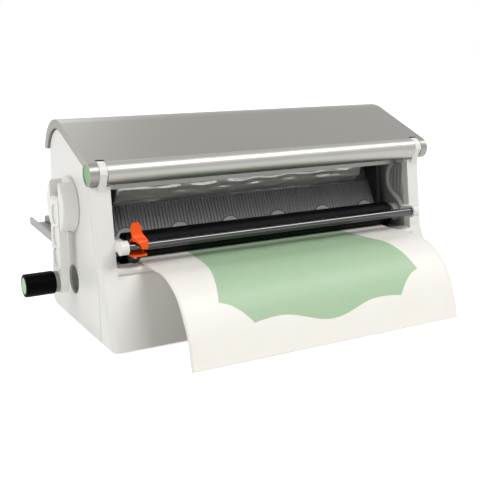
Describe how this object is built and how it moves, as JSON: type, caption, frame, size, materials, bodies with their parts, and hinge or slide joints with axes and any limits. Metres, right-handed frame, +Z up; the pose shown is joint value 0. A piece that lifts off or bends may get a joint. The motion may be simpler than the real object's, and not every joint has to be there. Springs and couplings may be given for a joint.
{
  "type": "cold roll laminator",
  "caption": "Hand-cranked cold roll laminator with a hinged lid, folding crank, film cartridge, rod-guided cutter and folding feed tray, with a laminated sheet coming out.",
  "frame": {"origin": "on the floor under the middle of the housing, in the plane of the rubber feet", "axes": "+X along the rollers away from the crank, -Y out of the mouth towards the user, +Z up"},
  "size_m": [0.4657, 0.3737, 0.214],
  "materials": {
    "white_plastic": "satin moulded plastic",
    "frame_plastic": "plain moulded plastic",
    "tray_plastic": "satin moulded plastic",
    "silver": "satin anodised",
    "plug_plastic": "plain",
    "green_plastic": "satin",
    "orange_plastic": "glossy",
    "grip_plastic": "glossy",
    "steel": "ground steel",
    "chrome_rod": "polished",
    "roller_rubber": "ground rubber",
    "foot_rubber": "plain",
    "gear_nylon": "plain",
    "cartridge_plastic": "satin",
    "button_plastic": "satin",
    "film": "clear glossy film, wound",
    "film_web": "clear glossy film",
    "sheet": "laminated card, glossy"
  },
  "bodies": {
    "housing": {"base_pan": "frame_plastic", "rubber_feet": "foot_rubber", "base_screws": "steel", "left_side_frame": "frame_plastic", "right_side_frame": "frame_plastic", "left_side_cover": "white_plastic", "right_side_cover": "white_plastic", "knob_pocket": "frame_plastic", "front_fascia": "white_plastic", "front_header": "silver", "lower_rear_panel": "white_plastic", "upper_rear_panel": "white_plastic", "tie_rods": "steel", "tie_rod_screws": "steel", "roller_bushes": "frame_plastic", "crank_bushes": "gear_nylon", "idler_stud": "steel", "cutter_rail": "chrome_rod", "rail_end_blocks": "white_plastic", "cartridge_left_plate": "cartridge_plastic", "cartridge_right_plate": "cartridge_plastic", "film_guide": "cartridge_plastic", "guide_buttons": "button_plastic", "feed_table": "frame_plastic", "upper_film_web": "film_web", "lower_film_web": "film_web", "laminated_sheet": "sheet"},
    "lid": {"lid_shell": "silver", "hinge_plugs": "plug_plastic", "hinge_pins": "steel", "hinge_caps": "green_plastic"},
    "crank": {"crank_hub": "white_plastic", "crank_shaft": "steel", "crank_pinion": "gear_nylon", "arm_pin": "steel"},
    "arm": {"crank_arm": "white_plastic", "knob_spindle": "steel", "knob_collar": "plug_plastic"},
    "grip": {"knob_grip": "grip_plastic", "knob_cap": "green_plastic"},
    "idler": {"idler_gear": "gear_nylon"},
    "upper_roller": {"upper_roller_shaft": "steel", "upper_roller_sleeve": "roller_rubber", "upper_roller_gear": "gear_nylon"},
    "lower_roller": {"lower_roller_shaft": "steel", "lower_roller_sleeve": "roller_rubber", "lower_roller_gear": "gear_nylon"},
    "upper_film": {"upper_film_core": "cartridge_plastic", "upper_film_roll": "film"},
    "lower_film": {"lower_film_core": "cartridge_plastic", "lower_film_roll": "film"},
    "cutter": {"cutter_slider": "orange_plastic", "cutter_blade": "steel", "blade_pin": "steel"},
    "tray": {"feed_tray": "tray_plastic", "tray_pins": "steel"}
  },
  "joints": [
    {"name": "lid_hinge", "type": "hinge", "parent": "housing", "child": "lid", "pos_m": [0, -0.046, 0.168], "axis": [1, 0, 0], "range_deg": [0, 105]},
    {"name": "crank_turn", "type": "hinge", "parent": "housing", "child": "crank", "pos_m": [-0.205, 0.0166, 0.129], "axis": [1, 0, 0], "continuous": true},
    {"name": "arm_fold", "type": "hinge", "parent": "crank", "child": "arm", "pos_m": [-0.2186, 0.0166, 0.129], "axis": [0, 1, 0], "range_deg": [0, 150]},
    {"name": "grip_spin", "type": "hinge", "parent": "arm", "child": "grip", "pos_m": [-0.24, 0.0166, 0.0485], "axis": [1, 0, 0], "continuous": true},
    {"name": "idler_turn", "type": "hinge", "parent": "housing", "child": "idler", "pos_m": [-0.194, 0.00357, 0.09734], "axis": [1, 0, 0], "continuous": true},
    {"name": "upper_roller_turn", "type": "hinge", "parent": "housing", "child": "upper_roller", "pos_m": [0, -0.033, 0.0905], "axis": [1, 0, 0], "continuous": true},
    {"name": "lower_roller_turn", "type": "hinge", "parent": "housing", "child": "lower_roller", "pos_m": [0, -0.033, 0.0635], "axis": [1, 0, 0], "continuous": true},
    {"name": "upper_film_turn", "type": "hinge", "parent": "housing", "child": "upper_film", "pos_m": [0, 0.03, 0.148], "axis": [1, 0, 0], "continuous": true},
    {"name": "lower_film_turn", "type": "hinge", "parent": "housing", "child": "lower_film", "pos_m": [0, 0.04, 0.04], "axis": [1, 0, 0], "continuous": true},
    {"name": "cutter_slide", "type": "slide", "parent": "housing", "child": "cutter", "axis": [1, 0, 0], "range_m": [0, 0.333]},
    {"name": "tray_fold", "type": "hinge", "parent": "housing", "child": "tray", "pos_m": [0, 0.103, 0.0724], "axis": [1, 0, 0], "range_deg": [0, 88]}
  ],
  "couplings": [
    {"joint": "idler_turn", "follows": "crank_turn", "ratio": -0.4375},
    {"joint": "upper_roller_turn", "follows": "crank_turn", "ratio": 0.77778},
    {"joint": "lower_roller_turn", "follows": "crank_turn", "ratio": -0.77778},
    {"joint": "upper_film_turn", "follows": "crank_turn", "ratio": -0.36528},
    {"joint": "lower_film_turn", "follows": "crank_turn", "ratio": 0.36528}
  ]
}
